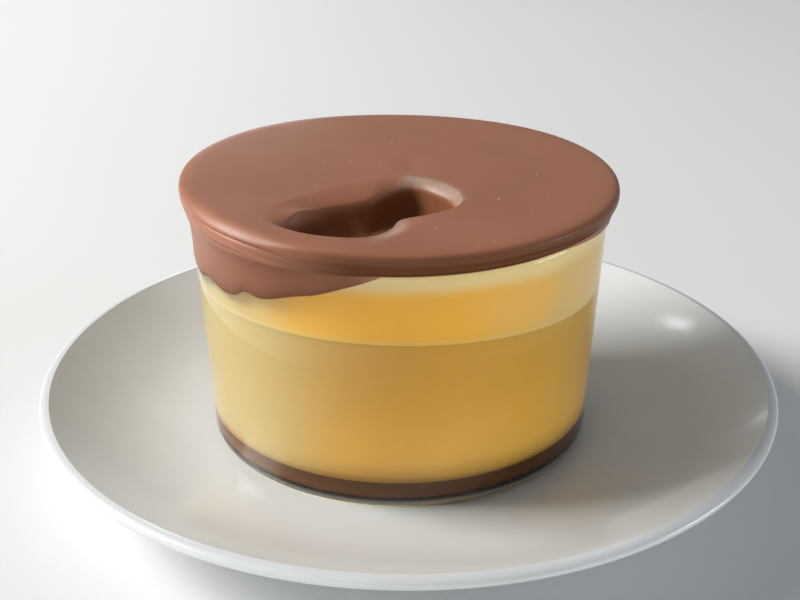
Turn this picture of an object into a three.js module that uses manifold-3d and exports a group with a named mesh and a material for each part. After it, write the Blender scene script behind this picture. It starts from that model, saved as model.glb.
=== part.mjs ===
// Baked custard in a straight-sided glass dish, under a poured chocolate cap, on a round plate.
// Millimetres, +Z up. The origin is on the table, under the middle of the plate.
import * as THREE from "three";
import { mergeVertices } from "three/addons/utils/BufferGeometryUtils.js";
import Module from "manifold-3d";

const GAP = 0.3; // air left between pieces that touch

// Plate
const PLATE_RADIUS = 84.8;
const WELL_HEIGHT = 7.5; // top of the flat well above the table
const WELL_RADIUS = 48;
const WELL_THICKNESS = 4.5;
const RIM_RISE = 12.1; // top of the rim above the well
const RIM_HALF_THICKNESS = 1.4;
const RIM_HALF_WIDTH = 2.3;
const FOOT_RING = { inner: 47, outer: 52.5 };
const PLATE_SEGMENTS = 72;

// Glass dish, heights counted from its foot
const DISH_X = -2; // the dish stands a little left of the plate's middle
const DISH_HEIGHT = 54.6;
const DISH_BASE_RADIUS = 43.4; // outside of the wall, carried straight down to the foot
const DISH_TOP_RADIUS = 46.3;
const WALL = 2.3;
const BASE_THICKNESS = 2;
const HEEL = 2.4; // rounding between the foot and the wall
const INNER_HEEL = 1.2; // and inside
const DISH_SEGMENTS = 64;

// Fillings, heights counted from the dish's foot
const CARAMEL_TOP = 6;
const CUSTARD_TOP = 39;
const UPPER_LAYER_RIM = 54.2; // where the upper layer meets the glass
const DIMPLE = { floor: 50, inner: 36, outer: 42 }; // the chocolate's bed in the upper layer
const BED_STEPS = 5;
const FILLING_SEGMENTS = 48;

// Chocolate cap, heights counted from the dish's foot
const CAP_TOP = 60.2;
const CAP_CROWN = 0.2; // how much higher its middle is
const CAP_LEAN = 0.013; // how fast its top falls towards +X
const CAP_BACK_FALL = 1.1; // how far its top has come down at its far edge
const CAP_RADIUS = 48.4;
const CAP_WIDEST = 58.2; // height of its widest ring
const CAP_EDGE_ROUND = 1.8;
const SKIRT_LEAST = 0.3; // how far the edge laps over the rim where nothing ran down
const SKIRT_THICKNESS = 0.5;
const SKIRT_THINNING = 0.8; // share of its thickness, squared, that is gone at its lower edge
const SHOULDER = 0.8; // extra thickness where the skirt leaves the cap's edge
const SHOULDER_DROP = 4.5; // how far down that thickness reaches
const SKIRT_GROWN = 3; // length from which it counts as a run, with its fold
const SKIRT_STEPS = 4;
const SIDE_STEPS = 4;
const EDGE_STEPS = 4;
const TOP_RINGS = 4;
const CAP_SEGMENTS = 112;

// The run of chocolate down the left front. Angles in degrees from the front towards the left.
const DRIP = { start: 4, span: 136, length: 12.4, power: 0.9 };
const DRIP_NOTCHES = [
  { at: 43, depth: 1, width: 3 },
  { at: 62, depth: 1.4, width: 6 },
];
// A shorter lap on the right side, where the edge sags over the rim
const SAG = { start: 215, span: 105, length: 3.2, power: 1.5 };
// The crease above the run. It deepens over its first degrees and fades out over its last.
const FOLD = { from: 8, deepens: 18, fades: 86, to: 126, height: 57.2, depth: 0.5, width: 0.8 };

// The hollow in the top, about its own middle in plan. A gentle shelf leads down from its edge,
// and its steep wall starts inside that: [degrees from +X, radius of the edge, radius of the wall].
const HOLLOW_MIDDLE = { x: -6, y: -23 };
const HOLLOW_OUTLINE = [
  [-150, 21.5, 19.9],
  [-118, 18.4, 17.3],
  [-92, 16.1, 15.1],
  [-68, 11.3, 10.3],
  [-45, 8.9, 7.9],
  [-18, 12.9, 11.9],
  [4, 18.4, 16.6],
  [20, 20.5, 16.5],
  [40, 21.2, 16.1],
  [60, 20.6, 16.2],
  [72, 19.8, 12.7],
  [88, 16.2, 9.3],
  [112, 14, 7.6],
  [140, 14, 8.2],
  [166, 17.2, 10.7],
  [190, 23.6, 15],
];
const HOLLOW_DEPTH = 7.4;
const SHELF_DEPTH = 1.7; // depth at which the steep wall starts
const SHELF_BEND = 1.5; // above 1, the shelf starts gently at the edge
const NEAR_WALL = 2.6; // how wide the steep wall is towards the front
const FAR_WALL = 6; // and towards the back
const SHELF_RINGS = [0.35, 0.8]; // shares of the shelf's width where the surface has a ring
const WALL_RINGS = [0.15, 0.4, 0.7, 1]; // and of the steep wall's width
const HOLLOW_SEGMENTS = 84;

const radians = THREE.MathUtils.degToRad;
const smoothstep = THREE.MathUtils.smoothstep;
const lerp = THREE.MathUtils.lerp;

// Turns sections of [radius, height] about +Z. sectionAt gets the angle from -Y towards +X, and
// every section has the same number of points and the same ends on the axis.
function turned(sectionAt, segments) {
  const step = (2 * Math.PI) / segments;
  const start = sectionAt(0);
  const geometry = new THREE.LatheGeometry(
    start.map(([r, z]) => new THREE.Vector2(r, z)),
    segments,
  );
  geometry.rotateX(Math.PI / 2);
  const position = geometry.getAttribute("position");
  for (let i = 0; i <= segments; i++) {
    const angle = (i % segments) * step;
    sectionAt(angle).forEach(([r, z], j) => {
      const index = i * start.length + j;
      position.setXYZ(index, r * Math.sin(angle), -r * Math.cos(angle), z);
    });
  }
  geometry.computeVertexNormals();
  return geometry;
}

// Points on an ellipse between two angles in degrees, 0 pointing outwards and 90 up.
function arc(r, z, halfWidth, halfHeight, from, to, steps) {
  return Array.from({ length: steps + 1 }, (_, k) => {
    const a = radians(lerp(from, to, k / steps));
    return [r + halfWidth * Math.cos(a), z + halfHeight * Math.sin(a)];
  });
}

function named(name, geometry, color, roughness, extra = {}) {
  const material = new THREE.MeshStandardMaterial({
    color,
    roughness,
    metalness: 0,
    ...extra,
  });
  const mesh = new THREE.Mesh(geometry, material);
  mesh.name = name;
  return mesh;
}

// Plate: a flat well that curves up into a rounded rim, over a low foot ring
function plateSection() {
  const underWell = WELL_HEIGHT - WELL_THICKNESS;
  const rimR = PLATE_RADIUS - RIM_HALF_WIDTH;
  const rimZ = WELL_HEIGHT + RIM_RISE - RIM_HALF_THICKNESS;
  const rise = (r) => RIM_RISE * ((r - WELL_RADIUS) / (rimR - WELL_RADIUS)) ** 2;
  const slopeRings = 7;
  const slope = Array.from({ length: slopeRings }, (_, k) => {
    const r = lerp(rimR, WELL_RADIUS, (k + 1) / slopeRings);
    return [r, WELL_HEIGHT + rise(r)];
  });
  return [
    [0, underWell],
    [FOOT_RING.inner - 1, underWell],
    [FOOT_RING.inner, 0],
    [FOOT_RING.outer - 0.8, 0],
    [FOOT_RING.outer, 0.8],
    [FOOT_RING.outer + 0.8, underWell],
    ...arc(rimR, rimZ, RIM_HALF_WIDTH, RIM_HALF_THICKNESS, -80, 90, 6),
    ...slope,
    [0, WELL_HEIGHT],
  ];
}

// Glass dish
function wallRadius(z) {
  return lerp(DISH_BASE_RADIUS, DISH_TOP_RADIUS, z / DISH_HEIGHT);
}

function dishSection() {
  const rimZ = DISH_HEIGHT - WALL / 2;
  const rimR = wallRadius(rimZ) - WALL / 2;
  const heelR = wallRadius(HEEL) - HEEL;
  const innerTop = BASE_THICKNESS + INNER_HEEL;
  const innerR = wallRadius(innerTop) - WALL - INNER_HEEL;
  return [
    [0, 0],
    ...arc(heelR, HEEL, HEEL, HEEL, -90, 0, 4),
    ...arc(rimR, rimZ, WALL / 2, WALL / 2, 0, 180, 6),
    ...arc(innerR, innerTop, INNER_HEEL, INNER_HEEL, 0, -90, 3),
    [0, BASE_THICKNESS],
  ];
}

// Radius to which a filling reaches inside the dish at a height.
function fillRadius(z) {
  const heelTop = BASE_THICKNESS + INNER_HEEL;
  const full = wallRadius(Math.max(z, heelTop)) - WALL - GAP;
  const into = Math.min(Math.max(heelTop - z, 0) / INNER_HEEL, 1);
  return full - INNER_HEEL * (1 - Math.sqrt(1 - into * into));
}

function layerSection(bottom, top, rings) {
  const side = Array.from({ length: rings + 1 }, (_, k) => {
    const z = lerp(bottom, top, k / rings);
    return [fillRadius(z), z];
  });
  return [[0, bottom], ...side, [0, top]];
}

// Upper layer: level with the rim at the glass, dipped in the middle where the chocolate lies
function bedHeight(r) {
  return lerp(
    DIMPLE.floor,
    UPPER_LAYER_RIM,
    smoothstep(r, DIMPLE.inner, DIMPLE.outer),
  );
}

function bed(rings, lift) {
  return Array.from({ length: rings }, (_, k) => {
    const r = lerp(DIMPLE.outer, DIMPLE.inner, k / (rings - 1));
    return [r, bedHeight(r) + lift];
  });
}

function upperLayerSection() {
  return [
    [0, CUSTARD_TOP + GAP],
    [fillRadius(CUSTARD_TOP + GAP), CUSTARD_TOP + GAP],
    [fillRadius(UPPER_LAYER_RIM), UPPER_LAYER_RIM],
    ...bed(BED_STEPS, 0),
    [0, DIMPLE.floor],
  ];
}

// Length of a lobe of chocolate that starts and ends at nothing.
function lobe({ start, span, length, power }, degrees) {
  const t = Math.min(Math.max((degrees - start) / span, 0), 1);
  return length * Math.sin(Math.PI * t) ** power;
}

// How far the chocolate ran down at an angle, in degrees from the front towards the left.
function dripLength(degrees) {
  let length = lobe(DRIP, degrees) + lobe(SAG, degrees);
  for (const notch of DRIP_NOTCHES) {
    const away = (degrees - notch.at) / notch.width;
    length -= notch.depth * Math.exp(-away * away);
  }
  return Math.max(length, SKIRT_LEAST);
}

// One radius of the hollow at an angle in degrees, smooth through its named points. Column 1 is
// its edge and column 2 the start of its steep wall.
function hollowRadius(degrees, column) {
  const count = HOLLOW_OUTLINE.length;
  const first = HOLLOW_OUTLINE[0][0];
  const at = first + THREE.MathUtils.euclideanModulo(degrees - first, 360);
  const point = (i) => {
    const turns = Math.floor(i / count);
    const row = HOLLOW_OUTLINE[i - turns * count];
    return [row[0] + turns * 360, row[column]];
  };
  let i = 0;
  while (point(i + 1)[0] <= at) i++;
  const [p0, p1, p2, p3] = [i - 1, i, i + 1, i + 2].map(point);
  const span = p2[0] - p1[0];
  const t = (at - p1[0]) / span;
  const slope1 = ((p2[1] - p0[1]) / (p2[0] - p0[0])) * span;
  const slope2 = ((p3[1] - p1[1]) / (p3[0] - p1[0])) * span;
  return (
    (2 * t ** 3 - 3 * t ** 2 + 1) * p1[1] +
    (t ** 3 - 2 * t ** 2 + t) * slope1 +
    (3 * t ** 2 - 2 * t ** 3) * p2[1] +
    (t ** 3 - t ** 2) * slope2
  );
}

// Widths of the shelf and of the steep wall at an angle in degrees.
function hollowWidths(degrees) {
  const shelf = hollowRadius(degrees, 1) - hollowRadius(degrees, 2);
  const front = smoothstep(Math.sin(radians(-degrees)), 0, 0.5);
  return { shelf, steep: lerp(FAR_WALL, NEAR_WALL, front) };
}

// Depth of the hollow a distance in from its edge.
function hollowDepth({ shelf, steep }, inward) {
  const onShelf = Math.min(inward / shelf, 1);
  const onWall = Math.max((inward - shelf) / steep, 0);
  const wall = (HOLLOW_DEPTH - SHELF_DEPTH) * Math.sin((Math.PI / 2) * onWall);
  return SHELF_DEPTH * onShelf ** SHELF_BEND + wall;
}

// Height of the cap's top without its hollow.
function crownHeight(x, y) {
  const reach = CAP_RADIUS - CAP_EDGE_ROUND;
  const crown = CAP_CROWN * (1 - (x * x + y * y) / (reach * reach));
  const fall = CAP_BACK_FALL * (Math.max(y, 0) / reach) ** 2;
  return CAP_TOP + crown - CAP_LEAN * x - fall;
}

// The solid that is cut out of the cap, about the hollow's middle. No ring of it lies in the
// cap's top: its wall goes on upwards at the slope that it has just below.
function hollowSection(angle) {
  const degrees = THREE.MathUtils.radToDeg(angle) - 90;
  const radius = hollowRadius(degrees, 1);
  const surface = (r) =>
    crownHeight(
      HOLLOW_MIDDLE.x + r * Math.sin(angle),
      HOLLOW_MIDDLE.y - r * Math.cos(angle),
    );
  const at = (inward, rise) => [
    radius - inward,
    surface(radius - inward) + rise,
  ];
  const widths = hollowWidths(degrees);
  const inward = [
    ...SHELF_RINGS.map((share) => share * widths.shelf),
    ...WALL_RINGS.map((share) => widths.shelf + share * widths.steep),
  ];
  const first = inward[0];
  const clear = CAP_TOP + 4; // above everything
  return [
    [0, surface(0) - HOLLOW_DEPTH],
    ...inward.reverse().map((d) => at(d, -hollowDepth(widths, d))),
    at(-first, hollowDepth(widths, first)),
    [radius + first, clear],
    [0, clear],
  ];
}

// A crease that runs round the left front between the cap's edge and the sheet below it.
function foldInset(degrees, z) {
  const ends =
    smoothstep(degrees, FOLD.from, FOLD.from + FOLD.deepens) *
    (1 - smoothstep(degrees, FOLD.fades, FOLD.to));
  const away = (z - FOLD.height) / FOLD.width;
  return FOLD.depth * ends * Math.exp(-away * away);
}

// Half of the cap's section: the bed, over the rim, down inside the skirt and up outside it, the
// side with its crease, the rounded edge and the top.
function capSection(angle) {
  const degrees = THREE.MathUtils.euclideanModulo(
    -THREE.MathUtils.radToDeg(angle),
    360,
  );
  const over = DISH_HEIGHT + GAP;
  const length = dripLength(degrees);
  const grown = smoothstep(length, SKIRT_LEAST, SKIRT_GROWN);
  const innerAt = (z) => wallRadius(z) + GAP;
  const inner = [];
  const outer = [];
  for (let k = 0; k <= SKIRT_STEPS; k++) {
    const down = k / SKIRT_STEPS;
    const z = over - length * down;
    const sheet = SKIRT_THICKNESS * Math.sqrt(1 - SKIRT_THINNING * down);
    const left = Math.max(1 - (length * down) / SHOULDER_DROP, 0);
    const thick = sheet + SHOULDER * grown * left * left;
    inner.push([innerAt(z), z]);
    outer.unshift([innerAt(z) + thick, z]);
  }
  const shoulderR = CAP_RADIUS - CAP_EDGE_ROUND;
  const topAt = (r) => crownHeight(r * Math.sin(angle), -r * Math.cos(angle));
  const shoulderZ = topAt(shoulderR);
  const widest = shoulderZ - (CAP_TOP - CAP_WIDEST);
  const lower = widest - over;
  const from = outer[outer.length - 1][0];
  const side = Array.from({ length: SIDE_STEPS }, (_, k) => {
    const up = (k + 1) / SIDE_STEPS;
    const z = over + lower * up;
    const r = lerp(from, CAP_RADIUS, Math.sin((up * Math.PI) / 2));
    return [r - grown * foldInset(degrees, z), z];
  });
  const edge = arc(
    shoulderR,
    widest,
    CAP_EDGE_ROUND,
    shoulderZ - widest,
    90 / EDGE_STEPS,
    90,
    EDGE_STEPS - 1,
  );
  const top = [];
  for (let k = 1; k <= TOP_RINGS; k++) {
    const r = shoulderR * (1 - k / TOP_RINGS);
    top.push([r, topAt(r)]);
  }
  return [
    [0, DIMPLE.floor + GAP],
    ...bed(BED_STEPS, GAP).reverse(),
    [fillRadius(DISH_HEIGHT), over],
    ...inner,
    ...outer,
    ...side,
    ...edge,
    ...top,
  ];
}

const wasm = await Module();
wasm.setup();

// A closed geometry as a solid, and back.
function solid(geometry) {
  geometry.deleteAttribute("normal");
  geometry.deleteAttribute("uv");
  const merged = mergeVertices(geometry, 1e-4);
  return new wasm.Manifold(
    new wasm.Mesh({
      numProp: 3,
      vertProperties: merged.getAttribute("position").array,
      triVerts: new Uint32Array(merged.index.array),
    }),
  );
}

function geometryOf(made) {
  const mesh = made.getMesh();
  const geometry = new THREE.BufferGeometry();
  const corners = new THREE.BufferAttribute(mesh.vertProperties, 3);
  geometry.setAttribute("position", corners);
  geometry.setIndex(new THREE.BufferAttribute(mesh.triVerts, 1));
  geometry.computeVertexNormals();
  return geometry;
}

function chocolateCap() {
  const cutter = turned(hollowSection, HOLLOW_SEGMENTS);
  cutter.translate(HOLLOW_MIDDLE.x, HOLLOW_MIDDLE.y, 0);
  return geometryOf(
    solid(turned(capSection, CAP_SEGMENTS)).subtract(solid(cutter)),
  );
}

const root = new THREE.Group();

root.add(
  named("plate", turned(plateSection, PLATE_SEGMENTS), 0xdcd6cc, 0.18),
);

const dish = new THREE.Group();
dish.position.set(DISH_X, 0, WELL_HEIGHT + GAP);
root.add(dish);

dish.add(
  named("glass_dish", turned(dishSection, DISH_SEGMENTS), 0xe6ecea, 0.05, {
    transparent: true,
    opacity: 0.35,
  }),
);

const caramelBottom = BASE_THICKNESS + GAP;
dish.add(
  named(
    "caramel_layer",
    turned(() => layerSection(caramelBottom, CARAMEL_TOP, 3), FILLING_SEGMENTS),
    0x5a3a1c,
    0.25,
  ),
  named(
    "custard",
    turned(
      () => layerSection(CARAMEL_TOP + GAP, CUSTARD_TOP, 2),
      FILLING_SEGMENTS,
    ),
    0xcda458,
    0.45,
  ),
  named(
    "upper_layer",
    turned(upperLayerSection, FILLING_SEGMENTS),
    0xd9a43a,
    0.4,
  ),
  named("chocolate_cap", chocolateCap(), 0x9c6d55, 0.4),
);

export default root;
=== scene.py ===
"""Baked custard in a glass dish, under a poured chocolate cap, on a glazed plate.

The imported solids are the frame. Every piece here stands for one of them, at its size and place,
with the surface and the finish of the real thing. Metres, +Z up.
"""

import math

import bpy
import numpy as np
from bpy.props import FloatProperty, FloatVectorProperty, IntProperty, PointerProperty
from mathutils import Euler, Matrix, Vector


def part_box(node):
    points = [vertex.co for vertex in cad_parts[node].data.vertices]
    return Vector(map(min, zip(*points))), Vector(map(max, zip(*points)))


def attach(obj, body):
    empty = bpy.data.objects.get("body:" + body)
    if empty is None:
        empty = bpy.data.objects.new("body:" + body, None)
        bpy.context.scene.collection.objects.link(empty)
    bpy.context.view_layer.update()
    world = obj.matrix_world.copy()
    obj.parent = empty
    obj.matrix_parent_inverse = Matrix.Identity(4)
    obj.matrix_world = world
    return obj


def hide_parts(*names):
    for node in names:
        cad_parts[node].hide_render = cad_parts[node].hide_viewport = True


bl_info = {
    "name": "Chocolate Custard Dish",
    "version": (1, 0, 0),
    "blender": (4, 5, 0),
    "location": "View3D > Sidebar > Custard Dish",
    "description": "Builds a glass dish of layered custard under chocolate, on its plate",
    "category": "Object",
}

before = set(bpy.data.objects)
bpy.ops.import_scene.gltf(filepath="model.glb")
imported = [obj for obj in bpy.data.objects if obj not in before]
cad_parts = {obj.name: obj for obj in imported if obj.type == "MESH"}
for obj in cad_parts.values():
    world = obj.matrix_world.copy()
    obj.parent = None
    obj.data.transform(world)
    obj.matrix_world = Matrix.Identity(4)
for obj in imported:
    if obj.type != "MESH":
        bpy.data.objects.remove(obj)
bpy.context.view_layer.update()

MM = 0.001

# The frame's own sizes, which the settings start from
PLATE_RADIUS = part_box("plate")[1].x
DISH_LOW, DISH_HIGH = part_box("glass_dish")
CAP_LOW, CAP_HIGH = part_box("chocolate_cap")
DISH_X = (DISH_LOW.x + DISH_HIGH.x) / 2
DISH_FOOT = DISH_LOW.z
DISH_HEIGHT = DISH_HIGH.z - DISH_LOW.z
DISH_TOP_RADIUS = (DISH_HIGH.x - DISH_LOW.x) / 2
CAP_RADIUS = (CAP_HIGH.y - CAP_LOW.y) / 2


# ---------------------------------------------------------------- settings


def size(name, description, default, least=0.0):
    """A length that a user can change."""
    return FloatProperty(
        name=name,
        description=description,
        default=default,
        min=least,
        unit="LENGTH",
        subtype="DISTANCE",
        precision=5,
    )


def share(name, description, default):
    """A number from 0 to 1."""
    return FloatProperty(
        name=name,
        description=description,
        default=default,
        min=0.0,
        max=1.0,
        subtype="FACTOR",
    )


def angle(name, description, default):
    """An angle, given in degrees and kept in radians."""
    return FloatProperty(
        name=name,
        description=description,
        default=math.radians(default),
        subtype="ANGLE",
    )


def colour(name, description, default):
    """A linear colour."""
    return FloatVectorProperty(
        name=name,
        description=description,
        default=default,
        size=3,
        min=0.0,
        max=1.0,
        subtype="COLOR",
    )


def count(name, description, default):
    """A whole number."""
    return IntProperty(name=name, description=description, default=default, min=3)


class PlateSettings(bpy.types.PropertyGroup):
    """The plate under the dish"""

    rim_radius: size("Rim radius", "Outside of the rim", PLATE_RADIUS)
    well_radius: size("Well radius", "Flat middle, before the slope starts", 48 * MM)
    well_height: size("Well height", "Top of the well above the table", 7.5 * MM)
    well_thickness: size("Well thickness", "Clay under the well", 4.5 * MM)
    rim_rise: size("Rim rise", "Top of the rim above the well", 12.1 * MM)
    lip_height: size("Lip height", "Half of the rim's rounded thickness", 1.4 * MM)
    lip_width: size("Lip width", "Half of the rim's rounded width", 2.3 * MM)
    foot_radius: size("Foot radius", "Middle of the foot ring", 49.75 * MM)
    foot_width: size("Foot width", "Half of the foot ring's width", 3.2 * MM)
    segments: count("Segments", "Steps round the plate", 256)
    glaze: colour("Glaze", "Colour of the glaze", (0.805, 0.828, 0.85))
    glaze_shade: colour("Glaze shade", "Where the glaze pools", (0.775, 0.795, 0.81))


class DishSettings(bpy.types.PropertyGroup):
    """The clear dish"""

    height: size("Height", "From foot to rim", DISH_HEIGHT)
    base_radius: size("Base radius", "Outside of the wall at the foot", 43.4 * MM)
    top_radius: size("Top radius", "Outside of the wall at the rim", DISH_TOP_RADIUS)
    wall: size("Wall", "Thickness of the wall", 2.3 * MM)
    base: size("Base", "Thickness of the base", 2 * MM)
    heel: size("Heel", "Rounding between foot and wall", 2.4 * MM)
    segments: count("Segments", "Steps round the dish", 256)
    tint: colour("Tint", "Colour of the glass", (0.97, 0.985, 0.955))
    # Painted light: the foot's tint stands in for light carried through the thick glass base
    foot_painted_light: colour("Foot tint", "Colour of the thick, cloudy foot", (0.56, 0.44, 0.26))


class FillingSettings(bpy.types.PropertyGroup):
    """Caramel, custard and upper layer, with heights above the dish's foot"""

    into_wall: size("Into the wall", "How far a filling reaches into the glass", 0.2 * MM)
    caramel_top: size("Caramel top", "Top of the caramel", 6 * MM)
    custard_top: size("Custard top", "Top of the custard", 39 * MM)
    border_wave: size("Border wave", "How far the custard's top leaves its level", 0.85 * MM)
    upper_rim: size("Upper rim", "Top of the upper layer at the glass", 54.2 * MM)
    bed: size("Bed", "Top of the upper layer under the chocolate", 50 * MM)
    bed_inner: size("Bed inner radius", "Flat part of the bed", 36 * MM)
    bed_outer: size("Bed outer radius", "Where the bed meets the rim", 42 * MM)
    segments: count("Segments", "Steps round a filling", 192)
    caramel: colour("Caramel", "Colour of the caramel", (0.14, 0.05, 0.005))
    custard: colour("Custard", "Colour of the custard", (0.67, 0.37, 0.032))
    # Painted light: the paler colour of the lit sides of the custard and the upper layer, and of
    # the custard low down
    painted_light_custard: colour("Pale custard", "Paler parts of the custard", (0.55, 0.452, 0.238))
    upper: colour("Upper layer", "Deep yellow of the upper layer", (0.98, 0.53, 0.035))
    # Painted light: the pale band under the rim stands in for light through the glass rim, where
    # the cap shades it
    skin: colour("Skin", "Pale skin at the rim", (0.93, 0.74, 0.38))


class ChocolateSettings(bpy.types.PropertyGroup):
    """The poured cap, with heights above the dish's foot"""

    radius: size("Radius", "Outside of the cap", CAP_RADIUS)
    top: size("Top", "Height of the top at its edge", 60.2 * MM)
    crown: size("Crown", "How much higher the middle is", 0.2 * MM)
    lean: share("Lean", "How much the top falls towards the right", 0.013)
    back_fall: size("Back fall", "How far the top comes down at its far edge", 1.1 * MM)
    widest: size("Widest", "Height of the widest ring", 58.2 * MM)
    edge_round: size("Edge rounding", "Width of the rounded edge", 1.8 * MM)
    sheet: size("Sheet", "Thickness of the run on the glass", 0.35 * MM)
    shoulder: size("Shoulder", "Extra thickness of the run under the cap's edge", 0.8 * MM)
    shoulder_drop: size("Shoulder drop", "How far down that thickness reaches", 4.5 * MM)
    bead: size("Bead", "Extra thickness along the lower edge of the run", 0.12 * MM)
    lap: size("Lap", "How far the edge laps over the rim where nothing ran", 0.1 * MM)
    run_length: size("Run length", "Longest run down the glass", 12.4 * MM)
    run_start: angle("Run start", "From the front towards the left", 4)
    run_span: angle("Run span", "Angle that the run takes up", 136)
    sag_length: size("Sag length", "Longest lap on the right side", 3.2 * MM)
    sag_start: angle("Sag start", "From the front towards the left", 215)
    sag_span: angle("Sag span", "Angle that the sag takes up", 105)
    hollow_x: size("Hollow X", "Middle of the hollow from the dish's axis", -6 * MM, -1)
    hollow_y: size("Hollow Y", "Middle of the hollow from the dish's axis", -23 * MM, -1)
    hollow_depth: size("Hollow depth", "Depth of the hollow", 7.4 * MM)
    shelf_depth: size("Shelf depth", "Depth at which its steep wall starts", 1.7 * MM)
    near_wall: size("Near wall", "Width of the steep wall at the front", 2.6 * MM)
    far_wall: size("Far wall", "Width of the steep wall at the back", 6 * MM)
    roll_width: size("Roll width", "Rolled lip at the front of the hollow", 5.5 * MM)
    roll_drop: size("Roll drop", "How far that lip comes down", 0.9 * MM)
    segments: count("Segments", "Steps round the cap", 480)
    milk: colour("Milk chocolate", "Main colour", (0.405, 0.162, 0.091))
    dark: colour("Dark chocolate", "Thinner and shaded parts", (0.125, 0.042, 0.018))
    # Painted shade: the dark colour down in the hollow, where little light reaches
    hollow_shade: colour("Wet chocolate", "Floor of the hollow", (0.24, 0.088, 0.038))
    # Painted sheen: this pale colour on the facet and the rolled lip by the hollow stands in for
    # light they catch; the air specks take it as their own colour
    bloom: colour("Bloom", "Pale, rough places beside the hollow", (0.43, 0.28, 0.215))
    speck_count: count("Specks", "Air specks on the top", 60)
    speck: size("Speck", "Radius of a speck", 0.36 * MM)


class StageSettings(bpy.types.PropertyGroup):
    """Floor, lights and camera"""

    floor: colour("Floor", "Colour of the floor", (0.90, 0.90, 0.90))
    floor_size: size("Floor size", "Side of the floor", 4.0)
    sky: share("Sky", "Strength of the even light", 0.215)


# ---------------------------------------------------------------- node trees


SHARP_BEND = math.radians(35)  # an edge that bends further than this stays sharp
WELD = 0.002 * MM  # points closer than this become one


class Sum:
    """A number in a node tree, so that a rule can be written as a formula."""

    def __init__(self, tree, socket):
        self.tree = tree
        self.socket = socket

    def math(self, operation, *others):
        node = self.tree.nodes.new("ShaderNodeMath")
        node.operation = operation
        for socket, value in zip(node.inputs, (self, *others)):
            feed(self.tree, socket, value)
        return Sum(self.tree, node.outputs[0])

    def __add__(self, other):
        return self.math("ADD", other)

    def __sub__(self, other):
        return self.math("SUBTRACT", other)

    def __mul__(self, other):
        return self.math("MULTIPLY", other)

    def __truediv__(self, other):
        return self.math("DIVIDE", other)

    def __neg__(self):
        return self * -1.0

    def power(self, other):
        return self.math("POWER", other)

    def most(self, other):
        return self.math("MAXIMUM", other)

    def ramp(self, low, high):
        """0 below low, 1 above high, and a smooth step between them."""
        given = {"Value": self, "From Min": low, "From Max": high}
        node = add(self.tree, "ShaderNodeMapRange", given, interpolation_type="SMOOTHSTEP")
        return Sum(self.tree, node.outputs["Result"])

    def fall(self, low, high):
        """1 below low, 0 above high, and a smooth step between them."""
        return -self.ramp(low, high) + 1


def feed(tree, socket, value):
    """Puts a formula, another socket or a plain value into a socket."""
    if isinstance(value, Sum):
        value = value.socket
    if isinstance(value, bpy.types.NodeSocket):
        tree.links.new(value, socket)
    elif value is not None:
        socket.default_value = value


def add(tree, kind, inputs=None, **settings):
    """A new node with its settings and its inputs by name or number."""
    node = tree.nodes.new(kind)
    for key, value in settings.items():
        setattr(node, key, value)
    for key, value in (inputs or {}).items():
        feed(tree, node.inputs[key], value)
    return node


def coordinates(tree, vector):
    """The three numbers of a vector."""
    split = add(tree, "ShaderNodeSeparateXYZ", {"Vector": vector}).outputs
    return [Sum(tree, split[k]) for k in "XYZ"]


def new_tree(name, sockets):
    """A Geometry Nodes tree with a geometry in, a geometry out and the named inputs."""
    tree = bpy.data.node_groups.new(name, "GeometryNodeTree")
    kinds = {"size": "NodeSocketFloat", "count": "NodeSocketInt", "finish": "NodeSocketMaterial"}
    for way in ("INPUT", "OUTPUT"):
        tree.interface.new_socket("Geometry", in_out=way, socket_type="NodeSocketGeometry")
    for label, kind in sockets:
        tree.interface.new_socket(label, in_out="INPUT", socket_type=kinds[kind])
    start = tree.nodes.new("NodeGroupInput")
    end = tree.nodes.new("NodeGroupOutput")
    return tree, start.outputs, end.inputs


def close_tree(tree, geometry, finish, out):
    """Ends a tree with smooth shading but sharp edges, realized instances and its material."""
    smoothed = add(tree, "GeometryNodeSetShadeSmooth", {"Geometry": geometry})
    bend = add(tree, "GeometryNodeInputMeshEdgeAngle").outputs["Unsigned Angle"]
    sharp = Sum(tree, bend).math("GREATER_THAN", SHARP_BEND)
    creased = add(
        tree,
        "GeometryNodeSetShadeSmooth",
        {"Geometry": smoothed.outputs[0], "Selection": sharp, "Shade Smooth": False},
        domain="EDGE",
    )
    real = add(tree, "GeometryNodeRealizeInstances", {"Geometry": creased.outputs[0]})
    final = add(
        tree,
        "GeometryNodeSetMaterial",
        {"Geometry": real.outputs[0], "Material": finish},
    )
    feed(tree, out["Geometry"], final.outputs[0])


def choose(tree, condition, yes, no):
    """yes where the condition is above 0, else no."""
    given = {"Switch": condition, "True": yes, "False": no}
    return Sum(tree, add(tree, "GeometryNodeSwitch", given, input_type="FLOAT").outputs[0])


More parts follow.
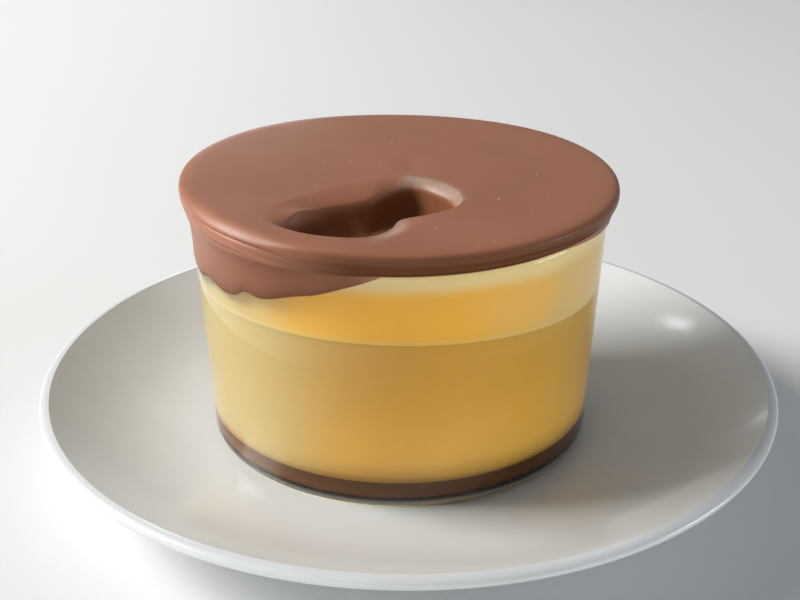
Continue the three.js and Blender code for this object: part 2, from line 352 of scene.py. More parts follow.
def turn(tree, section, segments):
    """Nodes that turn a section's points, in order and in the XZ plane, round the Z axis."""
    counted = add(
        tree,
        "GeometryNodeAttributeDomainSize",
        {"Geometry": section},
        component="MESH",
    )
    points = counted.outputs["Point Count"]
    columns = Sum(tree, segments) + 1
    grid = add(tree, "GeometryNodeMeshGrid", {"Vertices X": columns, "Vertices Y": points})
    index = Sum(tree, add(tree, "GeometryNodeInputIndex").outputs[0])
    column = (index / points).math("FLOOR")
    row = index - column * points
    place = add(tree, "GeometryNodeInputPosition").outputs[0]
    sample = add(
        tree,
        "GeometryNodeSampleIndex",
        {"Geometry": section, "Value": place, "Index": row},
        data_type="FLOAT_VECTOR",
        domain="POINT",
    )
    angle_round = column / segments * math.tau
    turned = add(
        tree,
        "ShaderNodeVectorRotate",
        {"Vector": sample.outputs[0], "Angle": angle_round},
        rotation_type="Z_AXIS",
    )
    placed = add(
        tree,
        "GeometryNodeSetPosition",
        {"Geometry": grid.outputs["Mesh"], "Position": turned.outputs[0]},
    )
    joined = add(
        tree,
        "GeometryNodeMergeByDistance",
        {"Geometry": placed.outputs[0], "Distance": WELD},
    )
    return joined.outputs[0]


def run_tree(piece, tree, values):
    """Runs a tree on a piece with its inputs set, and leaves a plain mesh."""
    modifier = piece.modifiers.new(tree.name, "NODES")
    modifier.node_group = tree
    for item in tree.interface.items_tree:
        if item.in_out == "INPUT" and item.name in values:
            modifier[item.identifier] = values[item.name]
    graph = bpy.context.evaluated_depsgraph_get()
    made = bpy.data.meshes.new_from_object(
        piece.evaluated_get(graph),
        preserve_all_data_layers=True,
        depsgraph=graph,
    )
    piece.modifiers.remove(modifier)
    old = piece.data
    made.name = piece.name
    piece.data = made
    bpy.data.meshes.remove(old)
    return piece


# The plate's sizes as its tree names them. In small letters, with _ for a space, they are its
# settings.
PLATE_SIZES = (
    "Rim Radius",
    "Well Radius",
    "Well Height",
    "Well Thickness",
    "Rim Rise",
    "Lip Height",
    "Lip Width",
    "Foot Radius",
    "Foot Width",
)
PLATE_STEPS = (72, 16, 72)  # over the top, round the lip and back under
LIP_START = math.radians(90)  # the lip's rounding starts straight up
LIP_END = math.radians(80)  # and ends this far below the level
FOOT_POWER = 7  # a lower number makes the foot ring rounder


def plate_tree():
    """A coupe plate: flat well, slope that rises as a square, rounded lip, foot ring."""
    sockets = [(n, "size") for n in PLATE_SIZES] + [("Segments", "count"), ("Glaze", "finish")]
    tree, given, out = new_tree("Coupe plate", sockets)
    rim, well, height, clay, rise, lip_z, lip_r, foot, foot_half = (
        Sum(tree, given[n]) for n in PLATE_SIZES
    )
    above, round_lip, below = PLATE_STEPS
    line = add(
        tree,
        "GeometryNodeMeshLine",
        {"Count": above + round_lip + below + 1, "Offset": (0, 0, 0)},
    )
    index = Sum(tree, add(tree, "GeometryNodeInputIndex").outputs[0])
    lip_middle = rim - lip_r
    lip_centre = height + rise - lip_z

    top_r = index / above * lip_middle
    slope = ((top_r - well) / (lip_middle - well)).most(0.0)
    top_z = height + rise * slope * slope

    lip_turn = (index - above) / round_lip
    lip_angle = lip_turn * -(LIP_START + LIP_END) + LIP_START
    arc_r = lip_middle + lip_r * lip_angle.math("COSINE")
    arc_z = lip_centre + lip_z * lip_angle.math("SINE")

    inward = (index - (above + round_lip)) / below
    start_r = lip_middle + lip_r * math.cos(LIP_END)
    start_z = lip_centre - lip_z * math.sin(LIP_END)
    under_r = start_r * (-inward + 1)
    under_well = height - clay
    outer_foot = foot + foot_half
    cone = ((under_r - outer_foot) / (start_r - outer_foot)).most(0.0)
    from_foot = ((under_r - foot) / foot_half).math("ABSOLUTE")
    ring = from_foot.math("MINIMUM", 1.0).power(FOOT_POWER)
    under_z = under_well * ring + (start_z - under_well) * cone

    on_top = index.math("LESS_THAN", above + 0.5)
    on_lip = index.math("LESS_THAN", above + round_lip + 0.5)
    radius = choose(tree, on_top, top_r, choose(tree, on_lip, arc_r, under_r))
    level = choose(tree, on_top, top_z, choose(tree, on_lip, arc_z, under_z))
    place = add(tree, "ShaderNodeCombineXYZ", {"X": radius, "Z": level})
    section = add(
        tree,
        "GeometryNodeSetPosition",
        {"Geometry": line.outputs["Mesh"], "Position": place.outputs[0]},
    )
    body = turn(tree, section.outputs[0], given["Segments"])
    close_tree(tree, body, given["Glaze"], out)
    return tree


def border_swell(side):
    """How far the custard's top swells, at an angle round the axis, for a wave of 1."""
    return side.math("COSINE") + (side * 2).math("COSINE") + 0.6


def turned_tree():
    """Turns a drawn section about the dish's axis, with a wave in what lies at one height."""
    sizes = ("Axis X", "Foot Height", "Wave Height", "Wave Level", "Wave Reach")
    sockets = [(n, "size") for n in sizes] + [("Segments", "count"), ("Finish", "finish")]
    tree, given, out = new_tree("Turned section", sockets)
    body = turn(tree, given["Geometry"], given["Segments"])
    x, y, z = coordinates(tree, add(tree, "GeometryNodeInputPosition").outputs[0])
    side = y.math("ARCTAN2", x)
    off_level = (z - given["Wave Level"]) / given["Wave Reach"]
    near = -(off_level * off_level).math("MINIMUM", 1.0) + 1
    lift = -(border_swell(side) * near * given["Wave Height"])
    up = lift + given["Foot Height"]
    move = add(tree, "ShaderNodeCombineXYZ", {"X": given["Axis X"], "Z": up})
    placed = add(tree, "GeometryNodeSetPosition", {"Geometry": body, "Offset": move.outputs[0]})
    close_tree(tree, placed.outputs[0], given["Finish"], out)
    return tree


SPECK_FACING = 0.97  # how level the surface is where a speck may lie
SPECK_GAP = 3 * MM
SPECK_SEED = 7
SPECK_DENSITY = 40000.0  # to the square metre, before the gap thins them out
SPECKS_AT_MOST = 290.0  # about how many the gap leaves on the cap
SPECK_SMALLEST, SPECK_LARGEST = (0.45, 0.45, 0.14), (1.0, 1.0, 0.34)  # shares of their radius


def speck_tree():
    """Air specks: tiny flattened beads, scattered on the top of the cap."""
    sockets = [
        ("Count", "count"),
        ("Radius", "size"),
        ("Lowest", "size"),
        ("Seed", "count"),
        ("Finish", "finish"),
    ]
    tree, given, out = new_tree("Air specks", sockets)
    level = coordinates(tree, add(tree, "GeometryNodeInputPosition").outputs[0])[2]
    facing = coordinates(tree, add(tree, "GeometryNodeInputNormal").outputs[0])[2]
    high = level.math("GREATER_THAN", given["Lowest"])
    flat = high * facing.math("GREATER_THAN", SPECK_FACING)
    places = add(
        tree,
        "GeometryNodeDistributePointsOnFaces",
        {
            "Mesh": given["Geometry"],
            "Selection": flat,
            "Distance Min": SPECK_GAP,
            "Density Max": SPECK_DENSITY,
            "Density Factor": Sum(tree, given["Count"]) / SPECKS_AT_MOST,
            "Seed": given["Seed"],
        },
        distribute_method="POISSON",
    )
    bead = add(tree, "GeometryNodeMeshIcoSphere", {"Radius": given["Radius"], "Subdivisions": 2})
    sizes = add(
        tree,
        "FunctionNodeRandomValue",
        {"Min": SPECK_SMALLEST, "Max": SPECK_LARGEST, "Seed": given["Seed"]},
        data_type="FLOAT_VECTOR",
    )
    spread = add(
        tree,
        "GeometryNodeInstanceOnPoints",
        {
            "Points": places.outputs["Points"],
            "Instance": bead.outputs["Mesh"],
            "Rotation": places.outputs["Rotation"],
            "Scale": sizes.outputs["Value"],
        },
    )
    close_tree(tree, spread.outputs[0], given["Finish"], out)
    return tree


# ---------------------------------------------------------------- materials


class Finish:
    """A material with one main shader, and short words for what its patterns need."""

    def __init__(self, name):
        self.material = bpy.data.materials.new(name)
        self.material.use_nodes = True
        self.tree = self.material.node_tree
        self.shader = self.tree.nodes["Principled BSDF"]
        self.place = add(self.tree, "ShaderNodeTexCoord").outputs["Object"]
        self.x, self.y, self.z = coordinates(self.tree, self.place)

    def set(self, **values):
        """Sets the shader's inputs, with _ for a space."""
        for key, value in values.items():
            feed(self.tree, self.shader.inputs[key.replace("_", " ")], value)

    def noise(self, scale, detail=3.0, roughness=0.55, stretch=(1, 1, 1)):
        """Soft noise from 0 to 1, with a number of features to the metre."""
        vector = self.place
        if stretch != (1, 1, 1):
            mapping = add(self.tree, "ShaderNodeMapping", {"Vector": vector, "Scale": stretch})
            vector = mapping.outputs[0]
        node = add(
            self.tree,
            "ShaderNodeTexNoise",
            {"Vector": vector, "Scale": scale, "Detail": detail, "Roughness": roughness},
        )
        return Sum(self.tree, node.outputs[0])

    def blend(self, factor, low, high):
        """Mixes two colours."""
        node = add(self.tree, "ShaderNodeMix", data_type="RGBA")
        feed(self.tree, node.inputs["Factor"], factor)
        for name, value in (("A", low), ("B", high)):
            socket = next(s for s in node.inputs if s.name == name and s.type == "RGBA")
            if isinstance(value, bpy.types.NodeSocket):
                feed(self.tree, socket, value)
            else:
                socket.default_value = (*value, 1.0)
        return next(s for s in node.outputs if s.type == "RGBA")

    def attribute(self, name):
        """A number that the mesh carries."""
        node = add(self.tree, "ShaderNodeAttribute", attribute_name=name)
        return Sum(self.tree, node.outputs["Fac"])

    def glow(self, weight, radius):
        """Light that goes a little way in, by a radius for red, green and blue."""
        self.set(Subsurface_Weight=weight, Subsurface_Radius=radius, Subsurface_Scale=1.0)

    def bump(self, height, distance, strength=1.0):
        """Relief from a height from 0 to 1, distance deep."""
        node = add(
            self.tree,
            "ShaderNodeBump",
            {"Height": height, "Distance": distance, "Strength": strength},
        )
        feed(self.tree, self.shader.inputs["Normal"], node.outputs[0])


def scaled(colour, factor):
    """A colour made brighter or darker by a factor."""
    return tuple(min(1.0, c * factor) for c in colour)


def glaze_finish(s):
    """Off-white glaze: a slight pooling of colour and a soft waviness."""
    f = Finish("plate_glaze")
    cloud = f.noise(38.0).ramp(0.35, 0.7)
    f.set(Base_Color=f.blend(cloud, s.glaze, s.glaze_shade))
    fine = f.noise(220.0, 2.0)
    f.set(Roughness=fine * 0.08 + 0.26, Specular_IOR_Level=0.5)
    f.set(Coat_Weight=0.5, Coat_Roughness=0.1)
    f.bump(f.noise(24.0, 1.0) + f.noise(900.0, 1.0) * 0.01, 0.1 * MM, 0.5)
    return f.material


def glass_finish(s):
    """Clear glass that lets the lamps through to what it holds; at its foot less clear, with a
    tint that is painted light carried through the thick base.
    """
    f = Finish("dish_glass")
    height = f.z - DISH_FOOT
    above_foot = height.ramp(1.2 * MM, 2.6 * MM)
    # Painted light: low down, the tint and the lower transmission stand in for light in the thick
    # base
    f.set(
        Base_Color=f.blend(above_foot, s.foot_painted_light, s.tint),
        Roughness=0.0,
        IOR=1.5,
        Specular_IOR_Level=height.ramp(4 * MM, 9 * MM) * 0.15 + 0.05,
        Transmission_Weight=above_foot * 0.5 + 0.5,
    )
    f.bump(f.noise(55.0, 1.0), 0.05 * MM, 0.5)
    open_glass = add(f.tree, "ShaderNodeBsdfTransparent", {"Color": (*s.tint, 1.0)})
    path = add(f.tree, "ShaderNodeLightPath")
    mixed = add(f.tree, "ShaderNodeMixShader", {"Fac": path.outputs["Is Shadow Ray"]})
    feed(f.tree, mixed.inputs[1], f.shader.outputs[0])
    feed(f.tree, mixed.inputs[2], open_glass.outputs[0])
    output = f.tree.nodes["Material Output"]
    feed(f.tree, output.inputs["Surface"], mixed.outputs[0])
    return f.material


def caramel_finish(s):
    """Dark caramel sauce, a little lighter towards its foot."""
    f = Finish("caramel_sauce")
    height = f.z - DISH_FOOT + (f.noise(70.0) - 0.5) * (3 * MM)
    upper_part = height.ramp(2.5 * MM, s.caramel_top - 1 * MM)
    f.set(Base_Color=f.blend(upper_part, scaled(s.caramel, 1.4), s.caramel))
    f.set(Roughness=f.noise(160.0) * 0.1 + 0.16, Specular_IOR_Level=0.05)
    return f.material


def custard_finish(s):
    """Baked custard, brown where it lies on the caramel; paler on its lit left side and to the
    right, and brighter low down, as painted light.
    """
    f = Finish("custard_body")
    across, height = f.x - DISH_X, f.z - DISH_FOOT
    cloud = f.noise(26.0, 2.0) - 0.5
    # Painted light: paler on the lit left side, paler and brighter to the right and low down
    left = (cloud * (16 * MM) - across).ramp(-8 * MM, 42 * MM)
    right = (across + cloud * (20 * MM)).ramp(12 * MM, 42 * MM)
    low = (height + cloud * (20 * MM)).fall(6 * MM, 36 * MM)
    deep = f.blend(low.most(right * 0.1), s.custard, scaled(s.custard, 1.35))
    body = f.blend(left.most(low.most(right) * 0.24), deep, s.painted_light_custard)
    soaked = (height - s.caramel_top + cloud * (2 * MM)).fall(0.0, 1.8 * MM) * 0.55
    f.set(Base_Color=f.blend(soaked, body, scaled(s.caramel, 3)))
    f.set(Roughness=f.noise(300.0) * 0.12 + 0.42, Specular_IOR_Level=0.12)
    f.glow(0.35, (5 * MM, 3 * MM, 1 * MM))
    f.bump(f.noise(420.0, 3.0), 0.15 * MM, 0.35)
    return f.material


def upper_finish(s):
    """The deep yellow layer over a fine pale line; its pale lit left side and pale band under the
    rim are painted light, its deeper front partly so.
    """
    f = Finish("upper_custard")
    across, height = f.x - DISH_X, f.z - DISH_FOOT
    side = f.y.math("ARCTAN2", across)
    cloud = f.noise(40.0, 2.0) - 0.5
    # Deeper yellow at the front and paler to the sides: partly the layer's own colour, partly
    # painted light
    front = (side.math("SINE") * -1.0 + cloud * 0.5).ramp(0.6, 1.0)
    tone = tuple((a + b) / 2 for a, b in zip(s.custard, s.skin))
    left = (cloud * (14 * MM) - across).ramp(12 * MM, 44 * MM)
    body = f.blend(left, f.blend(front, tone, s.upper), s.painted_light_custard)
    # Painted light: the pale band under the rim
    rim = (height + cloud * (3 * MM)).ramp(s.upper_rim - 6 * MM, s.upper_rim - 2 * MM)
    over_border = height - s.custard_top + border_swell(side) * s.border_wave
    line = over_border.math("ABSOLUTE").fall(0.15 * MM, 0.8 * MM)
    f.set(Base_Color=f.blend(rim.most(line * 0.2), body, s.skin))
    f.set(Roughness=f.noise(300.0) * 0.1 + 0.38, Specular_IOR_Level=0.12)
    f.glow(0.35, (5 * MM, 2.8 * MM, 0.8 * MM))
    f.bump(f.noise(380.0, 2.0), 0.12 * MM, 0.3)
    return f.material


def chocolate_finish(s):
    """Set milk chocolate: satin, with faint flow marks, painted shade in the hollow and under the
    edge, and pale painted sheen with a rough bump by the hollow.
    """
    f = Finish("milk_chocolate")
    thin, deep, bloom = (f.attribute(name) for name in ("thin", "deep", "bloom"))
    cloud = f.noise(24.0, 3.0).ramp(0.4, 0.68)
    cast = f.blend(cloud * 0.2, s.milk, s.dark)
    # Painted shade: dark under the edge and on the shaded parts of the run, which is also darker
    # where thin; darker still down in the hollow
    inside = f.blend(deep, f.blend(thin, cast, s.dark), s.hollow_shade)
    # Painted sheen: the pale colour where the facet and the rolled lip catch light, broken up by
    # noise
    patchy = bloom * (f.noise(420.0, 3.0).ramp(0.25, 0.6) * 0.5 + 0.5)
    f.set(Base_Color=f.blend(patchy, inside, s.bloom))
    satin = f.noise(55.0, 4.0) * 0.12 + 0.34
    f.set(Roughness=satin + deep * 0.1, Specular_IOR_Level=-(deep.most(thin) * 0.34) + 0.4)
    f.glow(0.08, (1.6 * MM, 0.6 * MM, 0.3 * MM))
    flow = f.noise(34.0, 2.0, stretch=(1, 1, 2.5))
    grain = f.noise(1400.0, 2.0)
    rough = f.noise(650.0, 3.0) * bloom
    f.bump(flow + grain * 0.05 + rough * 0.5, 0.3 * MM, 0.35)
    return f.material


def speck_finish(s):
    """Paler chocolate where an air speck came up."""
    f = Finish("speck_chocolate")
    f.set(Base_Color=f.blend(f.noise(500.0), s.bloom, scaled(s.bloom, 1.4)))
    f.set(Roughness=f.noise(900.0) * 0.1 + 0.22)
    return f.material


# ---------------------------------------------------------------- pieces


def clear(name):
    """Removes an earlier copy of a piece, so that its operator can run again."""
    old = bpy.data.objects.get(name)
    if old is not None:
        bpy.data.objects.remove(old)


def new_piece(name, vertices, faces=(), edges=()):
    """A new object at the origin, with its place in its mesh."""
    clear(name)
    mesh = bpy.data.meshes.new(name)
    mesh.from_pydata(vertices, edges, faces)
    piece = bpy.data.objects.new(name, mesh)
    bpy.context.collection.objects.link(piece)
    return piece


def settle(piece, node):
    """Hands a finished piece to the frame."""
    if not piece.data.polygons:
        raise RuntimeError(f"{piece.name} has no faces")
    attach(piece, "root")
    if node:
        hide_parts(node)


def arc(middle, half, start, end, steps):
    """Points [radius, height] on an ellipse, from one angle to another in degrees."""
    turns = np.radians(np.linspace(start, end, steps + 1))
    return [(middle[0] + half[0] * math.cos(t), middle[1] + half[1] * math.sin(t)) for t in turns]


def wall_radius(dish, height):
    """Outside of the glass at a height above its foot."""
    return dish.base_radius + (dish.top_radius - dish.base_radius) * height / dish.height


def filling_radius(dish, filling, height):
    """How far a filling reaches out: just into the wall, round the inner heel below."""
    inner_heel = dish.heel / 2
    top = dish.base + inner_heel
    full = wall_radius(dish, max(height, top)) - dish.wall + filling.into_wall
    down = min(max(top - height, 0.0) / inner_heel, 1.0)
    return full - inner_heel * (1 - math.sqrt(1 - down * down))


BORDER_LAP = 0.5 * MM  # how far the upper layer reaches below the custard's top


def bed_height(filling, radius):
    """Top of the upper layer: its rim at the glass, its bed under the chocolate."""
    t = np.clip((radius - filling.bed_inner) / (filling.bed_outer - filling.bed_inner), 0, 1)
    return filling.bed + (filling.upper_rim - filling.bed) * t * t * (3 - 2 * t)


def turned_piece(name, section, settings, segments, finish):
    """A piece turned from a section, by the tree. The section runs from axis to axis."""
    points = [(r, 0.0, z) for r, z in section]
    chain = [(i, i + 1) for i in range(len(points) - 1)]
    piece = new_piece(name, points, edges=chain)
    values = {
        "Axis X": DISH_X,
        "Foot Height": DISH_FOOT,
        "Wave Height": 0.0,
        "Wave Level": 0.0,
        "Wave Reach": 1 * MM,
        "Segments": segments,
        "Finish": finish,
        **settings,
    }
    return run_tree(piece, turned_tree(), values)


def dish_section(dish):
    """The glass from its foot, up outside, over the rim and down inside."""
    rim = dish.height - dish.wall / 2
    heel = wall_radius(dish, dish.heel) - dish.heel
    inner_heel = dish.heel / 2
    inner_top = dish.base + inner_heel
    inner = wall_radius(dish, inner_top) - dish.wall - inner_heel
    rim_r = wall_radius(dish, rim) - dish.wall / 2
    outside = arc((heel, dish.heel), (dish.heel, dish.heel), -90, 0, 14)
    lip = arc((rim_r, rim), (dish.wall / 2, dish.wall / 2), 0, 180, 16)
    inside = arc((inner, inner_top), (inner_heel, inner_heel), 0, -90, 12)
    floor = [(inner * 0.5, dish.base), (0, dish.base)]
    return [(0, 0), (heel * 0.5, 0), *outside, *lip, *inside, *floor]


def layer_section(dish, filling, bottom, top, steps):
    """A filling from the axis at its bottom, up the glass, to the axis at its top."""
    heights = np.linspace(bottom, top, steps + 1)
    side = [(filling_radius(dish, filling, z), z) for z in heights]
    across = np.linspace(0.9, 0.1, 5)
    lower = [(side[0][0] * (1 - c), bottom) for c in across]
    upper = [(side[-1][0] * c, top) for c in across]
    return [(0, bottom), *lower, *side, *upper, (0, top)]


def upper_section(dish, filling):
    """The upper layer, with its rim at the glass and its bed in the middle."""
    heights = np.linspace(filling.custard_top, filling.upper_rim, 15)
    bottom = filling.custard_top - BORDER_LAP
    side = [(filling_radius(dish, filling, z), z) for z in heights]
    side[0] = (side[0][0] + 0.02 * MM, bottom)
    lower = [(side[0][0] * c, bottom) for c in (0.25, 0.5, 0.75)]
    radii = np.linspace(filling.bed_outer, filling.bed_inner, 9)
    bed = [(r, bed_height(filling, r)) for r in radii]
    return [(0, bottom), *lower, *side, *bed, (0, filling.bed)]


# The hollow in plan, about its middle: degrees from +X, then in mm the radius of its edge and of
# the top of its steep wall
HOLLOW_OUTLINE = (
    (-150, 21.5, 19.9),
    (-118, 18.4, 17.3),
    (-92, 16.1, 15.1),
    (-68, 11.3, 10.3),
    (-45, 8.9, 7.9),
    (-18, 12.9, 11.9),
    (4, 18.4, 17.2),
    (20, 20.5, 18.6),
    (40, 21.2, 18.7),
    (60, 20.6, 18.2),
    (72, 19.8, 14.2),
    (88, 16.2, 9.3),
    (112, 14, 7.6),
    (140, 14, 8.2),
    (166, 17.2, 10.7),
    (190, 23.6, 15),
)
# Other stretches of the hollow, in degrees from +X too
# The facet's pale colour is painted sheen
PAINTED_SHEEN_FACET = (2, 16, 64, 74)  # where it starts, is full, starts to fade and has faded
STEEP_SIDE = (20, 48, 72)  # middle, then how far from it the steep wall holds and has faded
LONG_SLOPE = (188, 18)  # middle and width, as in the next two
SHALLOW_SHELF = (190, 15)
ROLLED_LIP = (296, 24)
# Stretches round the cap, in degrees from the front to the left
BEVELLED_EDGE = (18, 36, 56, 84)  # where it starts, is full, starts to fade and has faded
LIT_EDGE = (8, 40, 130, 170)
RUN_SHOULDER = (16, 40, 120, 160)
SAG_SHOULDER = (215, 250)  # where it starts and is full
FOLD = (4, 14, 54, 76)
FOLD_BROADENS = (24, 34)  # where it starts and is full
# Heights in mm of the fold's groove and of the bead under it, by degrees from the front
FOLD_LEVELS = (
    (0, 56.0, 54.9),
    (20, 56.6, 54.8),
    (29, 57.4, 54.9),
    (35, 57.8, 55.1),
    (43, 58.1, 56.2),
    (57, 58.0, 56.2),
    (75, 57.4, 55.8),
    (110, 56.8, 55.4),
)
RUN_NOTCHES = ((43, 1.0, 3), (62, 1.4, 6))  # degrees, depth in mm and width in degrees
OFF_GLASS = 0.05 * MM  # from the glass to the chocolate on it
BED_GAP = 0.1 * MM  # from the bed of the upper layer to the chocolate over it


def smooth(value, low, high):
    """0 below low, 1 above high, and a smooth step between them."""
    t = np.clip((value - low) / (high - low), 0.0, 1.0)
    return t * t * (3 - 2 * t)


def between(value, stretch):
    """1 along a stretch and 0 outside it, with a smooth step at both ends."""
    start, full, fading, end = stretch
    return smooth(value, start, full) * (1 - smooth(value, fading, end))


def bell(value, middle, width):
    """1 at the middle, fading to both sides."""
    return np.exp(-(((value - middle) / width) ** 2))


def hollow_radius(degrees, column):
    """One radius of the hollow, smooth through its named points."""
    rows = np.array(HOLLOW_OUTLINE, float)
    known, radii = rows[:, 0], rows[:, column]
    known = np.concatenate([known - 360, known, known + 360])
    radii = np.tile(radii, 3) * MM
    slopes = np.zeros_like(radii)
    slopes[1:-1] = (radii[2:] - radii[:-2]) / (known[2:] - known[:-2])
    at = (degrees - HOLLOW_OUTLINE[0][0]) % 360 + HOLLOW_OUTLINE[0][0]
    i = np.searchsorted(known, at, side="right") - 1
    span = known[i + 1] - known[i]
    t = (at - known[i]) / span
    return (
        (2 * t**3 - 3 * t**2 + 1) * radii[i]
        + (t**3 - 2 * t**2 + t) * slopes[i] * span
        + (3 * t**2 - 2 * t**3) * radii[i + 1]
        + (t**3 - t**2) * slopes[i + 1] * span
    )


def lobe(degrees, start, span, power):
    """A rise and fall along a span, with a broader middle for a lower power."""
    t = np.clip((degrees - math.degrees(start)) / math.degrees(span), 0, 1)
    return np.sin(np.pi * t) ** power


def run_length(choc, degrees):
    """How far the chocolate ran down, at degrees from the front towards the left."""
    length = choc.run_length * lobe(degrees, choc.run_start, choc.run_span, 0.9)
    length = length + choc.sag_length * lobe(degrees, choc.sag_start, choc.sag_span, 1.5)
    for at, depth, width in RUN_NOTCHES:
        length = length - depth * MM * bell(degrees, at, width)
    wavy = np.sin(np.radians(degrees) * 23)
    length = length + 0.15 * MM * wavy * smooth(length, 2 * MM, 6 * MM)
    return np.maximum(length, choc.lap)


def edge_drop(choc, radius, left):
    """How far the top has come down towards its edge, in a broad bevel at the left front."""
    bevel = between(left, BEVELLED_EDGE)
    start = choc.radius - choc.edge_round * (2.6 - 1.2 * bevel)
    out = np.clip((radius - start) / (choc.radius - start), 0, 1)
    power = 3.2 - 1.8 * bevel
    return (choc.top - choc.widest) * (1 - np.clip(1 - out**power, 0, 1) ** (1 / power))


def top_height(choc, x, y):
    """Height of the cap's top without its hollow, with the slow swell of a poured surface."""
    reach = choc.radius - choc.edge_round
    radius = np.hypot(x, y)
    left = np.degrees(np.arctan2(-x, -y)) % 360
    crown = choc.crown * (1 - (radius / reach) ** 2) - choc.lean * x
    fall = choc.back_fall * (np.maximum(y, 0) / reach) ** 2
    swell = 0.06 * MM * (np.sin(x * 95 + 1.0) * np.cos(y * 80) + np.sin((x + y) * 60 + 2.0))
    crease = -0.26 * MM * bell(x, 2.8 * MM, 3.2 * MM) * bell(y, 2 * MM, 8 * MM)
    return choc.top + crown - fall + swell + crease - edge_drop(choc, radius, left)


def hollow_depth(choc, inward, shelf, steep, shelf_deep):
    """Depth of the hollow a distance in from its edge, down its shelf and its steep wall."""
    on_shelf = np.clip(inward / shelf, 0, 1)
    on_wall = np.clip((inward - shelf) / steep, 0, 1)
    wall = (choc.hollow_depth - shelf_deep) * np.sin(np.pi / 2 * on_wall) ** 1.1
    return shelf_deep * on_shelf**1.5 + wall


def fold_relief(degrees, height):
    """How far the side stands out or in round the left front, where the pour folded."""
    known, groove_z, bead_z = np.array(FOLD_LEVELS, float).T
    z = height / MM
    groove = z - np.interp(degrees, known, groove_z)
    bead = z - np.interp(degrees, known, bead_z)
    ends = between(degrees, FOLD)
    broad = smooth(degrees, *FOLD_BROADENS)
    raised = (0.22 * bell(bead, 0, 0.28) + 0.3 * broad * bell(bead, 0, 0.7)) * ends
    sunk = 0.55 * broad * bell(groove, 0, 0.5) * ends
    return (raised - sunk) * MM


class CapSkin:
    """Rings of points round the cap, in order, with the marks that its finish reads."""

    def __init__(self, choc):
        turns = np.linspace(0, math.tau, choc.segments, endpoint=False)
        self.degrees = np.degrees(turns)
        self.away = np.stack([np.cos(turns), np.sin(turns)], 1)
        self.middle = np.array([choc.hollow_x, choc.hollow_y])
        along = self.away @ self.middle
        reach = choc.radius - choc.edge_round
        self.edge = -along + np.sqrt(along**2 - self.middle @ self.middle + reach**2)
        at_edge = self.middle + self.away * self.edge[:, None]
        self.azimuth = np.arctan2(at_edge[:, 0], -at_edge[:, 1])
        self.left = np.degrees(-self.azimuth) % 360
        self.run = run_length(choc, self.left)
        self.grown = smooth(self.run, choc.lap, 3 * MM)
        shoulders = between(self.left, RUN_SHOULDER) + smooth(self.left, *SAG_SHOULDER)
        self.shoulder = choc.shoulder * shoulders
        self.rings = []
        self.marks = {"deep": [], "thin": [], "bloom": []}

    def add(self, place, height, **marks):
        """Adds a ring at a radius from the dish's axis, or at the given points."""
        if np.ndim(place) < 2:
            x, y = place * np.sin(self.azimuth), -place * np.cos(self.azimuth)
        else:
            x, y = place.T
        n = len(self.azimuth)
        self.rings.append(np.stack([x + DISH_X, y, np.broadcast_to(height, n) + DISH_FOOT], 1))
        for name, values in self.marks.items():
            values.append(np.broadcast_to(marks.get(name, 0.0), n))


def top_rings(skin, choc):
    """The floor, wall and shelf of the hollow, and the top out to where the edge rounds."""
    degrees = skin.degrees
    outline, inner_edge = hollow_radius(degrees, 1), hollow_radius(degrees, 2)
    shelf = outline - inner_edge
    side_middle, side_holds, side_ends = STEEP_SIDE
    off_side = np.abs((degrees - side_middle + 180) % 360 - 180)
    near = smooth(-skin.away[:, 1], 0, 0.5)
    tight = np.maximum(near, 1 - smooth(off_side, side_holds, side_ends))
    steep = choc.far_wall + (choc.near_wall - choc.far_wall) * tight
    steep = steep + 3 * MM * bell(degrees, *LONG_SLOPE)
    shelf_deep = choc.shelf_depth * (1 - 0.75 * bell(degrees, *SHALLOW_SHELF))
    facet = between(degrees, PAINTED_SHEEN_FACET)
    rolled = bell(degrees, *ROLLED_LIP)

    floor = outline - shelf - steep
    distances = [floor * t for t in (0.25, 0.5, 0.75)]
    distances += [inner_edge - steep * t for t in np.linspace(1, 0, 21)[:-1]]
    distances += [outline - shelf * t for t in np.linspace(1, 0, 17)]
    flat = skin.edge - outline
    distances += [outline + flat * t**1.6 for t in np.linspace(0, 1, 48)[1:]]
    for distance in distances:
        xy = skin.middle + skin.away * distance[:, None]
        inward = outline - distance
        down = hollow_depth(choc, np.maximum(inward, 0), shelf, steep, shelf_deep)
        roll = rolled * (1 - smooth(-inward, 0, choc.roll_width))
        height = top_height(choc, xy[:, 0], xy[:, 1]) - down - choc.roll_drop * roll
        # Painted sheen: the pale mark along the facet's edge and over the rolled lip
        at_edge = smooth(inward, -1.6 * MM, 0.4 * MM)
        at_edge = at_edge * (1 - smooth(inward - shelf, -0.5 * MM, 0.3 * MM))
        on_roll = 0.7 * smooth(roll, 0.2, 0.55) * (1 - smooth(down, 0.3 * MM, 1 * MM))
        # Painted shade: darker with depth in the hollow, kept off the lit facet
        dark = smooth(down, 0.5 * MM, (4 - 2 * facet) * MM)
        dark = dark * (1 - facet * (1 - smooth(inward - shelf, -0.2 * MM, 0.4 * MM)))
        skin.add(xy, height, deep=dark, bloom=np.maximum(facet * at_edge, on_roll))


def over_rim(dish):
    """Height at which the chocolate passes over the rim of the glass."""
    return dish.height + 0.08 * MM


